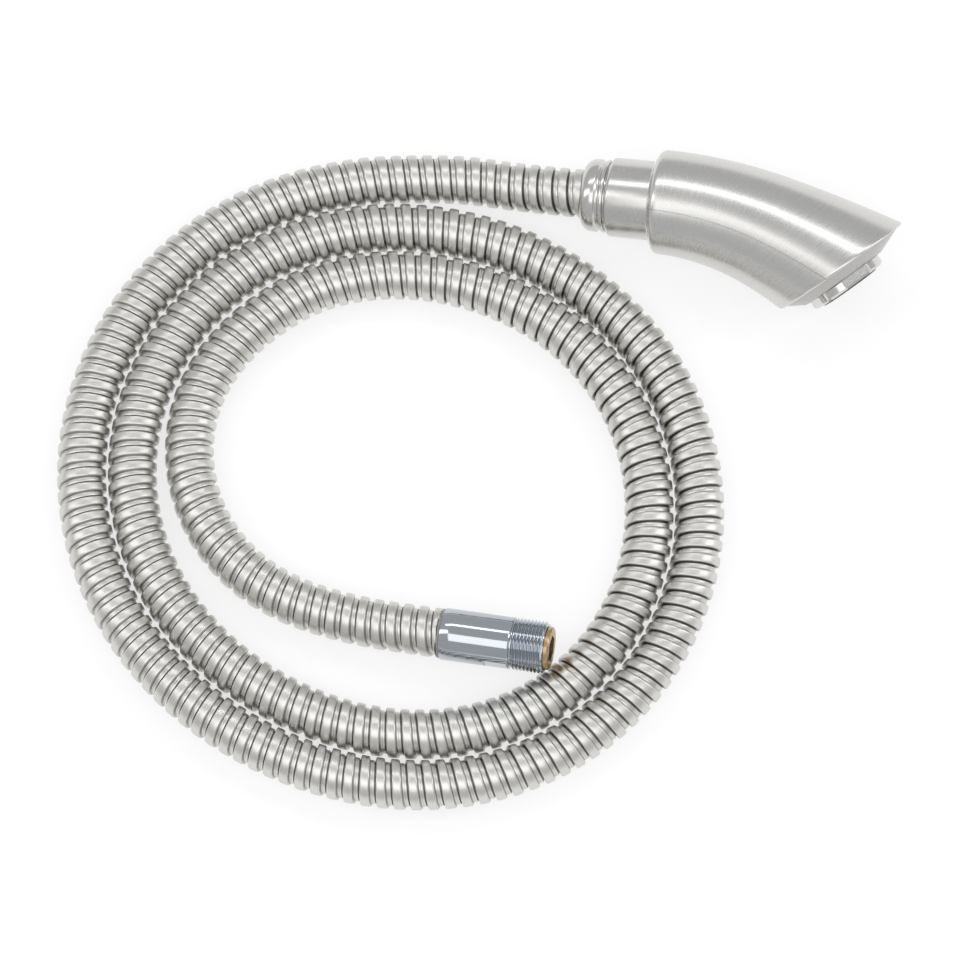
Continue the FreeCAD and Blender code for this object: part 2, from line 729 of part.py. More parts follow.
def mouth_half_length():
    """Half of the mouth's long way, between its tip and its lip."""
    across = size("shell_mouth_radius")
    _, slope = spine(size("mouth_x"))
    return across / math.cos(math.radians(size("mouth_angle")) - slope)


def ellipse_wire(along, half_long, half_wide):
    """An oval in the mouth's frame, its long way along Z."""
    curve = Part.Ellipse(Vector(0, 0, 0), half_long, half_wide)
    wire = Part.Wire([curve.toShape()])
    wire.Placement = Placement(
        Vector(along, 0, 0), Rotation(Vector(0, 0, 1), Vector(0, 1, 0), Vector(-1, 0, 0), "XYZ")
    )
    return wire


def cap_form(drop):
    """A shallow oval cone from the mouth's edge to the nozzle's seat."""
    inset = size("shell_wall") + size("cap_clearance") + 0.35
    half_long = mouth_half_length() - inset * 1.3 - 0.2
    half_wide = size("shell_mouth_radius") - inset - 0.2
    foot = ellipse_wire(-size("cap_recess") - drop, half_long, half_wide)
    reach = size("spigot_radius + cap_seat")
    seat = ellipse_wire(size(CAP_TOP) - drop, reach, reach * 0.999)
    seat.translate(Vector(0, 0, -size("nozzle_offset")))
    return Part.makeLoft([foot, seat], True, True)


cap = doc.addObject("Part::Feature", "end_cap")
cap.Label = "end_cap"
cap_hole = Part.makeCylinder(
    size("spigot_radius + seat_clearance"), size("cap_height") * 3, Vector(-size("cap_height"), 0, -size("nozzle_offset")), Vector(1, 0, 0)
)
cap.Shape = cap_form(0.0).cut(cap_form(size("cap_wall"))).cut(cap_hole)
finish(cap, head_place * mouth)

nut = turned(
    "nozzle_nut",
    [
        (NUT_BACK, "spigot_radius + seat_clearance"),
        (LIP_BACK, "spigot_radius + seat_clearance"),
        (LIP_BACK, "insert_radius + 0.3"),
        (NUT_FRONT, "insert_radius + 0.3"),
        (NUT_FRONT, "nut_radius - nut_bevel"),
        (NUT_FRONT + " - nut_bevel", "nut_radius"),
        (NUT_BACK, "nut_radius"),
    ],
    nozzle_place,
)
flats = sketch_on(nut, "YZ_Plane", "flats")
circle_in(flats, "0", "0", "nut_across_flats")
outline(flats, regular_corners(4, "nut_across_flats", turn=size("nut_turn")))
pocket(nut, flats, "flats_cut")
notches = sketch_on(nut, "YZ_Plane", "notches")
outward_x, outward_y = "cos(nut_notch_turn * 1 deg)", "sin(nut_notch_turn * 1 deg)"
for way in (1, -1):
    corners = []
    for reach, side in (("nut_radius - nut_notch_depth", -1), ("nut_radius - nut_notch_depth", 1),
                        ("nut_radius + 1", 1), ("nut_radius + 1", -1)):
        corners.append((
            "%d * ((%s) * %s - %d * nut_notch / 2 * %s)" % (way, reach, outward_x, side, outward_y),
            "%d * ((%s) * %s + %d * nut_notch / 2 * %s)" % (way, reach, outward_y, side, outward_x),
        ))
    outline(notches, corners)
pocket(nut, notches, "notches_cut")

INSERT_BACK = LIP_BACK + " - 1.4"
ring("strainer_screen", LIP_BACK + " - 3.5", LIP_BACK + " - 2.7", "1.2", "spigot_radius - 0.3", nozzle_place)
ring("nozzle_gasket", LIP_BACK + " - 2.6", LIP_BACK + " - 1.5", "insert_radius - 3",
     "spigot_radius - 0.3", nozzle_place)
insert = turned(
    "spray_insert",
    [
        (INSERT_BACK, "0.8"),
        (NUT_FRONT + " + insert_stand - 0.4", "0.8"),
        (NUT_FRONT + " + insert_stand", "1.2"),
        (NUT_FRONT + " + insert_stand", "insert_radius - 0.5"),
        (NUT_FRONT + " + insert_stand - 0.5", "insert_radius"),
        (LIP_BACK + " - 0.05", "insert_radius"),
        (LIP_BACK + " - 0.05", "spigot_radius - 0.3"),
        (INSERT_BACK, "spigot_radius - 0.3"),
    ],
    nozzle_place,
)
for i in range(1, 5):
    jets = sketch_on(insert, "YZ_Plane", "jet_%d" % i)
    circle_in(jets, "jet_ring_step * %d" % i, "0", "jet_radius")
    around(insert, pocket(insert, jets, "jet_cut_%d" % i), "%d" % (6 * i))
tooth = sketch_on(insert, "YZ_Plane", "tooth")
tooth_half = "pi * insert_radius / insert_teeth / 2"
outline(tooth, [
    ("insert_radius - tooth_depth", "-0.05"),
    ("insert_radius + 0.05", "-(%s)" % tooth_half),
    ("insert_radius + 0.05", tooth_half),
])
tooth.AttachmentOffset = Placement(Vector(0, 0, size(NUT_FRONT + " + insert_stand")), Rotation())
before = insert.Tip.Shape.Volume
tooth_cut = insert.newObject("PartDesign::Pocket", "spray_insert_tooth_cut")
tooth_cut.Profile = tooth
tooth_cut.setExpression("Length", bound("insert_stand + nut_lip"))
doc.recompute()
check_cut(insert, before, "tooth")
around(insert, tooth_cut, "insert_teeth")

# Inlet end of the hose
BODY_START = "bush_thickness + connector_gap"
FLATS_START = BODY_START + " + connector_barrel"
FLATS_END = FLATS_START + " + connector_flats"
THREAD_START = FLATS_END + " + connector_edge"
THREAD_END = THREAD_START + " + thread_length"
connector = turned(
    "inlet_connector",
    [
        (BODY_START, "connector_bore + 1"),
        (BODY_START + " + 4", "connector_bore + 1"),
        (BODY_START + " + 4", "connector_bore"),
        (THREAD_END, "connector_bore"),
        (THREAD_END, "connector_radius - thread_depth"),
        (THREAD_END + " - thread_depth * 0.6", "connector_radius"),
        (BODY_START + " + 0.5", "connector_radius"),
        (BODY_START, "connector_radius - 0.5"),
    ],
    connector_place,
)
flats = sketch_on(connector, "XY_Plane", "flats")
for side in (1, -1):
    near = "%d * (connector_radius - flat_depth)" % side
    far = "%d * (connector_radius + 1)" % side
    outline(flats, [(FLATS_START, near), (FLATS_END, near), (FLATS_END, far), (FLATS_START, far)])
pocket(connector, flats, "flats_cut")
groove_sketch = sketch_on(connector, "XZ_Plane", "thread")
outline(groove_sketch, [
    (THREAD_START, "connector_radius + 0.05"),
    (THREAD_START + " + thread_pitch * 0.42", "connector_radius - thread_depth"),
    (THREAD_START + " + thread_pitch * 0.5", "connector_radius - thread_depth"),
    (THREAD_START + " + thread_pitch * 0.92", "connector_radius + 0.05"),
])
before = connector.Tip.Shape.Volume
groove = connector.newObject("PartDesign::Groove", "inlet_connector_groove")
groove.Profile = groove_sketch
groove.ReferenceAxis = (groove_sketch, ["H_Axis"])
groove.Angle = 360
doc.recompute()
check_cut(connector, before, "thread")
threads = connector.newObject("PartDesign::LinearPattern", "inlet_connector_thread")
threads.Originals = [groove]
threads.Direction = (plane(connector, "X_Axis"), [""])
thread_turns = int(size("thread_length / thread_pitch"))
threads.Occurrences = thread_turns
threads.setExpression("Length", bound("thread_pitch * %d" % (thread_turns - 1)))
connector.Tip = threads
doc.recompute()
check_cut(connector, before, "thread pattern")

NOSE_START = THREAD_END + " + connector_gap"
SLIDE = "connector_bore - running_clearance"
INLET_SEAT = THREAD_END + " - 6"
tailpiece = turned(
    "inlet_insert",
    [
        ("-barb_length", "spindle_bore"),
        (NOSE_START + " + insert_nose", "spindle_bore"),
        (NOSE_START + " + insert_nose", "nose_radius - 0.6"),
        (NOSE_START + " + insert_nose - 0.6", "nose_radius"),
        (NOSE_START, "nose_radius"),
        (NOSE_START, SLIDE),
        (INLET_SEAT + " + o_ring_section + 0.1", SLIDE),
        (INLET_SEAT + " + o_ring_section + 0.1", SLIDE + " - 2 * o_ring_section"),
        (INLET_SEAT + " - o_ring_section - 0.1", SLIDE + " - 2 * o_ring_section"),
        (INLET_SEAT + " - o_ring_section - 0.1", SLIDE),
        (BODY_START + " + 3.9", SLIDE),
        (BODY_START + " + 3.9", SLIDE + " - 1.2"),
        (BODY_START + " + 2.5", SLIDE + " - 1.2"),
        (BODY_START + " + 2.5", SLIDE),
        ("bush_thickness + 0.05", SLIDE),
        ("bush_thickness + 0.05", "barb_radius"),
        ("-barb_length + 2", "barb_radius"),
        ("-barb_length", "barb_radius - 0.8"),
    ],
    connector_place,
)
socket = sketch_on(tailpiece, "YZ_Plane", "socket")
outline(socket, regular_corners(6, "nose_socket"))
socket.AttachmentOffset = Placement(Vector(0, 0, size(NOSE_START + " + insert_nose")), Rotation())
before = tailpiece.Tip.Shape.Volume
socket_cut = tailpiece.newObject("PartDesign::Pocket", "inlet_insert_socket_cut")
socket_cut.Profile = socket
socket_cut.setExpression("Length", bound("nose_socket_depth"))
doc.recompute()
check_cut(tailpiece, before, "socket")
ring("inlet_ferrule", "-ferrule_length - 1", "-1",
     "liner_radius + seat_clearance", "ferrule_radius", connector_place)
turned(
    "inlet_bush",
    [
        ("0", "barb_radius + seat_clearance"),
        ("bush_thickness", "barb_radius + seat_clearance"),
        ("bush_thickness", "hose_radius - 0.6"),
        ("0", "hose_radius"),
    ],
    connector_place,
)
ring("inlet_retaining_ring", BODY_START + " + 2.6", BODY_START + " + 3.8",
     SLIDE + " - 1.15", "connector_bore + 0.8", connector_place)
o_rings("inlet_o_ring", [INLET_SEAT], SLIDE + " - o_ring_section", connector_place)

doc.recompute()


# Checks and export
def least_gap():
    """Least distance between two turns of the hose, less its diameter."""
    count = rib_count * 3
    points = [station(hose_length * i / count).Base for i in range(count + 1)]
    apart = int(4 * size("hose_radius") / (hose_length / count))
    least = 1e9
    for i, point in enumerate(points):
        for other in points[i + apart:]:
            least = min(least, point.distanceToPoint(other))
    return least - 2 * size("hose_radius")


def tightest_bend():
    count = rib_count * 3
    step = (centre_line.LastParameter - centre_line.FirstParameter) / count
    bends = [centre_line.curvature(centre_line.FirstParameter + step * i) for i in range(count + 1)]
    return 1.0 / max(bends)


print("hose length %.1f mm in %d ribs of %.2f mm" % (hose_length, rib_count, rib_step))
print("hose least gap to itself %.2f mm, tightest bend %.1f mm" % (least_gap(), tightest_bend()))
os.makedirs("parts", exist_ok=True)
for item in doc.Objects:
    if "Invalid" in item.State or "Error" in item.State:
        raise RuntimeError("%s failed: %s" % (item.Label, item.State))
for item in sub_parts:
    if item.Shape.isNull() or not item.Shape.isValid():
        raise RuntimeError("%s has no valid shape" % item.Label)
box = FreeCAD.BoundBox()
for item in sub_parts:
    if not item.Label.startswith(("hose", "inner", "inlet")):
        box.add(item.Shape.optimalBoundingBox(False))
    item.Shape.exportStep("parts/%s.step" % item.Label)
print("%d sub-parts; head from %s" % (len(sub_parts), box))
for item in sub_parts:
    print("%-24s %9.1f mm3, lowest %.2f" % (item.Label, item.Shape.Volume, item.Shape.optimalBoundingBox(False).ZMin))
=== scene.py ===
import math
import bmesh
import bpy
import numpy as np
from mathutils import Matrix, Vector


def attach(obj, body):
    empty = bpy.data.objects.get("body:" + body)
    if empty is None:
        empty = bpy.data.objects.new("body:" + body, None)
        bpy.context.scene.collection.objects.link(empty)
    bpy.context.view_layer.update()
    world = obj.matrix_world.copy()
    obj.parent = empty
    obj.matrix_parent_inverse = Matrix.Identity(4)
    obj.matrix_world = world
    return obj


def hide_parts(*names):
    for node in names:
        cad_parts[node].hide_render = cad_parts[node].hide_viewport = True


MM = 0.001
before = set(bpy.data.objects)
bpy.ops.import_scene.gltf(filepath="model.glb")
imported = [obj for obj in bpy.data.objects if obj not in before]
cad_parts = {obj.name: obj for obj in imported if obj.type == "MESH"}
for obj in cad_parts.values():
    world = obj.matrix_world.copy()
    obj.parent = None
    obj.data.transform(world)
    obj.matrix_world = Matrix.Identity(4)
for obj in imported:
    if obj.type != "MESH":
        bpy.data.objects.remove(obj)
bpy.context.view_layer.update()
scene = bpy.context.scene

# Camera: looks down at the floor, a little from the front
TILT = math.radians(15.5)
DISTANCE = 2060.0
AIM = Vector((-125.52, -124.69, 0.0))
camera_data = bpy.data.cameras.new("camera")
camera_data.sensor_width = 36.0
camera_data.lens = 150.0
camera_data.clip_end = 20.0
camera = bpy.data.objects.new("camera", camera_data)
camera.location = (AIM + Vector((0, -math.sin(TILT), math.cos(TILT))) * DISTANCE) * MM
camera.rotation_euler = (TILT, 0, 0)
scene.collection.objects.link(camera)
scene.camera = camera

# Where the head lies
HEADING, RISE, ROLL = math.radians(-10.0), math.radians(10.9), math.radians(29.2)
NECK_RADIUS, RIM_ROUND, RIM_LIFT = 27.0, 3.2, 1.5
neck_axis = Vector((math.cos(RISE) * math.cos(HEADING), math.cos(RISE) * math.sin(HEADING), math.sin(RISE)))
level_side = Vector((math.sin(HEADING), -math.cos(HEADING), 0))
concave_side = level_side * math.cos(ROLL) + neck_axis.cross(level_side) * math.sin(ROLL)
convex_side = -concave_side
far_side = convex_side.cross(neck_axis)
rim_height = (NECK_RADIUS - RIM_ROUND) * math.cos(RISE) + RIM_ROUND * (1 - math.sin(RISE)) + RIM_LIFT
RIM = Vector((-33.62, 17.41, rim_height))


def placed(origin, x_axis, y_axis, z_axis):
    """Matrix of a local frame given in millimetres."""
    matrix = Matrix((x_axis, y_axis, z_axis)).transposed().to_4x4()
    matrix.translation = origin * MM
    return matrix


head_place = placed(RIM, neck_axis, far_side, convex_side)
MOUTH_ANGLE = math.radians(49.35)
MOUTH = Vector((98.5, 0, -24.1))
mouth_local = Matrix.Translation(MOUTH * MM) @ Matrix.Rotation(MOUTH_ANGLE, 4, "Y")
mouth_place = head_place @ mouth_local
NOZZLE_OFFSET = 2.6
nozzle_place = mouth_place @ Matrix.Translation(Vector((0, 0, -NOZZLE_OFFSET * MM)))

# The hose's route, the same control points as the solid's
COIL = Vector((-164.52, -127.19, 0))
HOSE_RADIUS = 12.6
COIL_RADIUS, COIL_PITCH = 169.7, 26.1
COIL_WAVES = [(5.5, 90.3), (4.92, 66.7), (0.81, 196.1), (0.5, 260.0)]
LEAD_ROUTE = [(88.0, 162.3), (79.0, 164.8)]
TAIL_ROUTE = [
    (848.0, 113.0), (860.0, 114.3), (872.0, 115.0), (884.0, 113.9), (896.0, 110.7), (908.0, 106.1),
    (920.0, 100.6), (933.0, 94.1), (947.0, 86.9), (961.0, 80.9),
]
COIL_START, COIL_END, COIL_STEPS = 98.0, 836.0, 30
END_RUN, OUTLET_SPREAD, INLET_SPREAD, INLET_LIFT = 25.3, 0.57, 0.45, 1.2
SLEEVE_LENGTH, SWIVEL_GAP, COLLAR_LENGTH = 24.8, 0.8, 12.6
COLLAR_FACE = -(SLEEVE_LENGTH + SWIVEL_GAP + COLLAR_LENGTH)
CONNECTOR_TURN, CONNECTOR_RISE = math.radians(-10.2), math.radians(8.8)
CONNECTOR_ANGLE, CONNECTOR_DISTANCE = 283.3, 85.5
connector_axis = Vector((
    math.cos(CONNECTOR_RISE) * math.cos(CONNECTOR_TURN),
    math.cos(CONNECTOR_RISE) * math.sin(CONNECTOR_TURN),
    math.sin(CONNECTOR_RISE),
))


def spiral_point(angle, distance, height=HOSE_RADIUS):
    turn = math.radians(angle)
    return Vector((COIL.x + distance * math.cos(turn), COIL.y + distance * math.sin(turn), height))


def coil_distance(angle):
    distance = COIL_RADIUS - COIL_PITCH * (angle - 90.0) / 360.0
    for waves, (height, phase) in enumerate(COIL_WAVES, start=1):
        distance += height * math.cos(math.radians(waves * angle + phase))
    return distance


head_end = RIM + neck_axis * COLLAR_FACE
end_height = HOSE_RADIUS + INLET_LIFT + END_RUN * (1 + INLET_SPREAD) * math.sin(CONNECTOR_RISE)
hose_end = spiral_point(CONNECTOR_ANGLE, CONNECTOR_DISTANCE, end_height)
connector_side = Vector((0, 0, 1)).cross(connector_axis).normalized()
connector_place = placed(hose_end, connector_axis, connector_side, connector_axis.cross(connector_side))
route = [head_end]
route += [head_end - neck_axis * END_RUN * (1 + OUTLET_SPREAD * way) for way in (-1, 1)]
route += [spiral_point(*station) for station in reversed(LEAD_ROUTE)]
steps = round((COIL_END - COIL_START) / 360.0 * COIL_STEPS)
for i in range(steps + 1):
    angle = COIL_START + (COIL_END - COIL_START) * i / steps
    route.append(spiral_point(angle, coil_distance(angle)))
route += [spiral_point(*station) for station in TAIL_ROUTE]
route += [hose_end - connector_axis * END_RUN * (1 + INLET_SPREAD * way) for way in (1, -1)]
route.append(hose_end)


def nurbs_line(points):
    """Points along the NURBS spline with these control points, in metres."""
    data = bpy.data.curves.new("hose_route", "CURVE")
    data.dimensions = "3D"
    data.resolution_u = 16
    spline = data.splines.new("NURBS")
    spline.points.add(len(points) - 1)
    for place, point in zip(spline.points, points):
        place.co = (*(point * MM), 1.0)
    spline.order_u = 3
    spline.use_endpoint_u = True
    item = bpy.data.objects.new("hose_route", data)
    scene.collection.objects.link(item)
    bpy.context.view_layer.update()
    mesh = bpy.data.meshes.new_from_object(item)
    line = np.array([v.co[:] for v in mesh.vertices])
    bpy.data.meshes.remove(mesh)
    bpy.data.objects.remove(item)
    bpy.data.curves.remove(data)
    return line


hose_line = nurbs_line(route)
start_gap, end_gap = (np.linalg.norm(hose_line[i] - np.array(head_end) * MM) for i in (0, -1))
if start_gap > end_gap:
    hose_line = hose_line[::-1]
hose_steps = np.concatenate([[0.0], np.cumsum(np.linalg.norm(np.diff(hose_line, axis=0), axis=1))])
HOSE_LENGTH = float(hose_steps[-1])
hose_tangent = np.gradient(hose_line, hose_steps, axis=0)
hose_tangent /= np.linalg.norm(hose_tangent, axis=1)[:, None]


def hose_frames(distance):
    """Centre, up and side at distances along the hose, for arrays of metres."""
    centre = np.stack([np.interp(distance, hose_steps, hose_line[:, k]) for k in range(3)], axis=-1)
    along = np.stack([np.interp(distance, hose_steps, hose_tangent[:, k]) for k in range(3)], axis=-1)
    along /= np.linalg.norm(along, axis=-1)[..., None]
    side = np.cross(along, np.array([0.0, 0.0, 1.0]))
    side /= np.linalg.norm(side, axis=-1)[..., None]
    return centre, np.cross(side, along), side


# Materials
class Nodes:
    """A material's node tree with short ways to add and join nodes."""

    def __init__(self, name):
        self.material = bpy.data.materials.new(name)
        self.material.use_nodes = True
        self.tree = self.material.node_tree
        self.shader = self.tree.nodes["Principled BSDF"]

    def add(self, kind, inputs=(), **settings):
        node = self.tree.nodes.new(kind)
        for key, setting in settings.items():
            setattr(node, key, setting)
        for key, source in dict(inputs).items():
            if isinstance(source, bpy.types.NodeSocket):
                self.tree.links.new(source, node.inputs[key])
            else:
                node.inputs[key].default_value = source
        return node

    def set(self, **sockets):
        for key, source in sockets.items():
            socket = self.shader.inputs[key.replace("_", " ")]
            if isinstance(source, bpy.types.NodeSocket):
                self.tree.links.new(source, socket)
            else:
                socket.default_value = source

    def coordinate(self, stretch, source="UV"):
        found = self.add("ShaderNodeTexCoord")
        scaled = self.add("ShaderNodeMapping", {"Vector": found.outputs[source], "Scale": stretch})
        return scaled.outputs["Vector"]

    def noise(self, stretch, source="UV", detail=3.0, roughness=0.6):
        where = self.coordinate(stretch, source)
        node = self.add("ShaderNodeTexNoise",
                        {"Vector": where, "Scale": 1.0, "Detail": detail, "Roughness": roughness})
        return node.outputs["Fac"]

    def span(self, value, low, high, from_low=0.3, from_high=0.7):
        node = self.add("ShaderNodeMapRange", {
            "Value": value, "From Min": from_low, "From Max": from_high, "To Min": low, "To Max": high})
        return node.outputs["Result"]

    def blend(self, factor, first, second):
        node = self.add("ShaderNodeMix", {0: factor, 6: first, 7: second}, data_type="RGBA")
        return node.outputs[2]

    def bump(self, height, distance, strength):
        node = self.add("ShaderNodeBump", {"Height": height, "Distance": distance, "Strength": strength})
        return node.outputs["Normal"]


def rgba(red, green, blue):
    return (red, green, blue, 1.0)


def grained(nodes, grain, cloud, source):
    """Fine scratches with a little of a wider pattern: the scratches, and both within 0 to 1."""
    fine = nodes.noise(grain, source, detail=4.0, roughness=0.7)
    wide = nodes.noise(cloud, source, detail=3.0)
    mixed = nodes.add("ShaderNodeMath", {0: wide, 1: 0.3, 2: fine}, operation="MULTIPLY_ADD")
    return fine, nodes.span(mixed.outputs[0], 0.0, 1.0, 0.4, 0.9)


def brushed(name, dark, light, rough, grain, cloud=(60, 60, 60), source="UV", bump=0.000012, marks=0.35):
    """Brushed or turned metal: grain is the number of scratches a metre along and around."""
    nodes = Nodes(name)
    fine, tone = grained(nodes, grain, cloud, source)
    nodes.set(Metallic=1.0, Base_Color=nodes.blend(tone, dark, light))
    nodes.set(Roughness=nodes.span(tone, rough - 0.04, rough + 0.04, 0.0, 1.0))
    nodes.set(Normal=nodes.bump(fine, bump, marks))
    return nodes


head_steel = brushed("satin_steel", rgba(0.61, 0.60, 0.58), rgba(0.71, 0.70, 0.68), 0.27,
                     (2200, 60, 1), (30, 30, 1), bump=0.000003)
sleeve_steel = brushed("sleeve_steel", rgba(0.56, 0.55, 0.53), rgba(0.74, 0.73, 0.71), 0.24,
                       (4200, 300, 1), (60, 120, 1))
collar_steel = brushed("collar_steel", rgba(0.58, 0.57, 0.55), rgba(0.72, 0.71, 0.69), 0.20,
                       (3000, 200, 1), (120, 60, 1))
nozzle_steel = brushed("nozzle_steel", rgba(0.60, 0.59, 0.57), rgba(0.76, 0.75, 0.73), 0.20,
                       (1200, 1200, 1200), (90, 90, 90), "Object")
# Painted shade: the cap has the nozzle's steel made darker
shaded_cap_steel = brushed("shaded_cap_steel", rgba(0.40, 0.39, 0.375), rgba(0.50, 0.49, 0.475), 0.28,
                    (1200, 1200, 1200), (90, 90, 90), "Object")
spring_steel = brushed("spring_steel", rgba(0.42, 0.42, 0.43), rgba(0.55, 0.55, 0.56), 0.35,
                       (1500, 1500, 1500), (90, 90, 90), "Object")
brass = brushed("turned_brass", rgba(0.42, 0.29, 0.14), rgba(0.62, 0.45, 0.24), 0.30,
                (1500, 1500, 1500), (220, 220, 220), "Object")
chrome = brushed("polished_chrome", rgba(0.44, 0.47, 0.51), rgba(0.52, 0.55, 0.59), 0.09,
                 (700, 2500, 1), (50, 60, 1), bump=0.000003, marks=0.15)


def hose_metal():
    """Stainless strip: brushed along its length, with painted shade that darkens the recesses and the bore.
    """
    nodes = Nodes("hose_steel")
    fine, tone = grained(nodes, (2600, 60, 1), (220, 130, 1), "UV")
    bright = nodes.blend(tone, rgba(0.63, 0.62, 0.59), rgba(0.75, 0.74, 0.71))
    painted_shade = nodes.add("ShaderNodeAttribute", attribute_name="painted_shade").outputs["Fac"]
    # Painted shade: the steel turns dark brown-grey in the recesses and the bore
    nodes.set(Metallic=1.0, Base_Color=nodes.blend(painted_shade, bright, rgba(0.17, 0.158, 0.14)))
    nodes.set(Roughness=nodes.span(tone, 0.33, 0.42, 0.0, 1.0))
    nodes.set(Normal=nodes.bump(fine, distance=0.000006, strength=0.25))
    return nodes


hose_steel = hose_metal()


def plastic(name, dark, light, rough, scale, **sockets):
    nodes = Nodes(name)
    grain = nodes.noise((scale, scale, scale), "Object", detail=4.0)
    nodes.set(Base_Color=nodes.blend(nodes.span(grain, 0.0, 1.0), dark, light))
    nodes.set(Roughness=nodes.span(grain, rough - 0.06, rough + 0.08))
    nodes.set(Normal=nodes.bump(grain, distance=0.00002, strength=0.4), **sockets)
    return nodes


nylon = plastic("clear_nylon", rgba(0.74, 0.76, 0.75), rgba(0.86, 0.87, 0.86), 0.35, 700,
                Transmission_Weight=0.85, IOR=1.45)
rubber = plastic("black_rubber", rgba(0.018, 0.018, 0.018), rgba(0.05, 0.05, 0.05), 0.6, 1500)
grey_plastic = plastic("grey_plastic", rgba(0.36, 0.35, 0.34), rgba(0.46, 0.45, 0.43), 0.4, 900)
dark_plastic = plastic("dark_plastic", rgba(0.035, 0.03, 0.027), rgba(0.10, 0.09, 0.08), 0.42, 1800)


# Mesh helpers
def made(name, mesh, place, material, body, replaced=(), sharp=35.0):
    """A finished piece: placed, coloured, riding on its body and standing for its nodes."""
    mesh.validate()
    mesh.shade_smooth()
    mesh.set_sharp_from_angle(angle=math.radians(sharp))
    mesh.materials.append(material.material)
    item = bpy.data.objects.new(name, mesh)
    scene.collection.objects.link(item)
    item.matrix_world = place
    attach(item, body)
    if replaced:
        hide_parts(*replaced)
    return item


def grid_mesh(name, points, uvs):
    """Quads over a grid of points [along][around], in millimetres, that closes on itself both ways.

    uvs, in metres, has one more row and one more column than points.
    """
    rows, columns = points.shape[:2]
    mesh = bpy.data.meshes.new(name)
    faces, loops = [], []
    for i in range(rows):
        k = (i + 1) % rows
        for j in range(columns):
            m = (j + 1) % columns
            faces.append((i * columns + j, i * columns + m, k * columns + m, k * columns + j))
            loops += [uvs[i][j], uvs[i][j + 1], uvs[i + 1][j + 1], uvs[i + 1][j]]
    mesh.from_pydata((points.reshape(-1, 3) * MM).tolist(), [], faces)
    layer = mesh.uv_layers.new(name="grain")
    layer.data.foreach_set("uv", np.array(loops, np.float32).ravel())
    return mesh


def weld(mesh, gap):
    """Joins corners that are closer than gap, in metres, and turns every face outwards."""
    form = bmesh.new()
    form.from_mesh(mesh)
    bmesh.ops.remove_doubles(form, verts=form.verts, dist=gap)
    bmesh.ops.recalc_face_normals(form, faces=form.faces)
    form.to_mesh(mesh)
    form.free()


def lathe(name, profile, around=128, shape=None):
    """A closed (along, radius) outline turned about the X axis; shape may change a radius."""
    angles = np.linspace(0, 2 * math.pi, around, endpoint=False)
    points = np.zeros((len(profile), around, 3))
    lengths = [0.0]
    for i, (x, r) in enumerate(profile):
        nx, nr = profile[(i + 1) % len(profile)]
        lengths.append(lengths[-1] + math.hypot(nx - x, nr - r))
        for j, angle in enumerate(angles):
            reach = r if shape is None else shape(x, r, angle)
            points[i, j] = (x, reach * math.cos(angle), reach * math.sin(angle))
    middle = max(r for _, r in profile)
    uvs = [[(length * MM, middle * 2 * math.pi * j / around * MM) for j in range(around + 1)]
           for length in lengths]
    return grid_mesh(name, points, uvs)


def soft_edges(item, width):
    """Rounds the sharp edges of a piece by a small amount in millimetres."""
    bevel = item.modifiers.new("edges", "BEVEL")
    bevel.width = width * MM
    bevel.segments = 2
    bevel.limit_method = "ANGLE"
    bevel.angle_limit = math.radians(40)
    bevel.harden_normals = True


# The metal hose: one rounded strip wound as a right-handed helix
RIB_PITCH = 8.0
BORE_RADIUS, STRIP_END = 9.7, 10.8
BORE_STEP, GRAIN_SHIFT = 9.0, 79.0
# Painted shade at the strip's two ends and in the bore, on the same 0 to 1 scale
END_SHADE, BORE_SHADE = 0.1, 0.6
# Share of the pitch, radius, and painted shade from 0 on the bead to 1 in the recess
RIB_FORM = [
    (0.000, 10.10, 1.0), (0.018, 10.10, 1.0), (0.026, 11.40, 0.7), (0.038, 12.15, 0.2),
    (0.055, 12.42, 0.0), (0.085, 12.54, 0.0), (0.140, 12.58, 0.0), (0.300, 12.60, 0.0),
    (0.460, 12.57, 0.0), (0.540, 12.50, 0.0), (0.585, 12.32, 0.0), (0.615, 11.95, 0.05),
    (0.632, 11.40, 0.3), (0.645, 10.90, 0.6), (0.660, 10.75, 0.45), (0.685, 10.80, 0.05),
    (0.780, 10.80, 0.0), (0.788, 10.68, 0.25), (0.796, 10.80, 0.0), (0.915, 10.80, 0.0),
    (0.938, 10.70, 0.3), (0.950, 10.10, 1.0),
]


